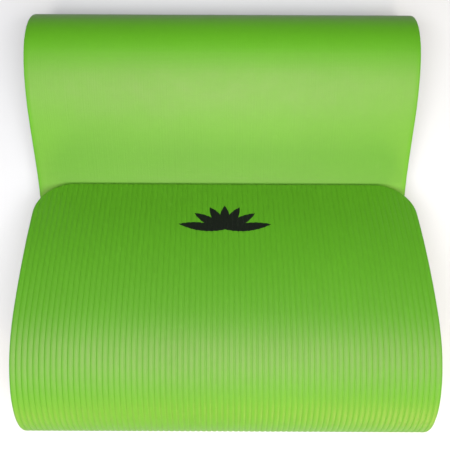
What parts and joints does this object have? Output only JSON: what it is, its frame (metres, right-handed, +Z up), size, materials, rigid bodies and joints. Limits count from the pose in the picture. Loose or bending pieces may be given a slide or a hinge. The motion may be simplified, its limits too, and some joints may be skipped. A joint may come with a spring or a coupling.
{
  "type": "exercise mat",
  "caption": "Soft foam exercise mat with lengthwise ribs on one face and rounded corners, lying in a loose S-shaped fold on the floor.",
  "frame": {"origin": "on the floor, under the centre of the folded mat's bounding box", "axes": "+X across the mat's width, +Y from the front fold to the rear fold, +Z up"},
  "size_m": [0.61, 0.6654, 0.1855],
  "materials": {
    "green_foam": "matte",
    "black_ink": "matte"
  },
  "bodies": {
    "root": {"foam_mat": "green_foam", "printed_mark": "black_ink"}
  },
  "joints": []
}
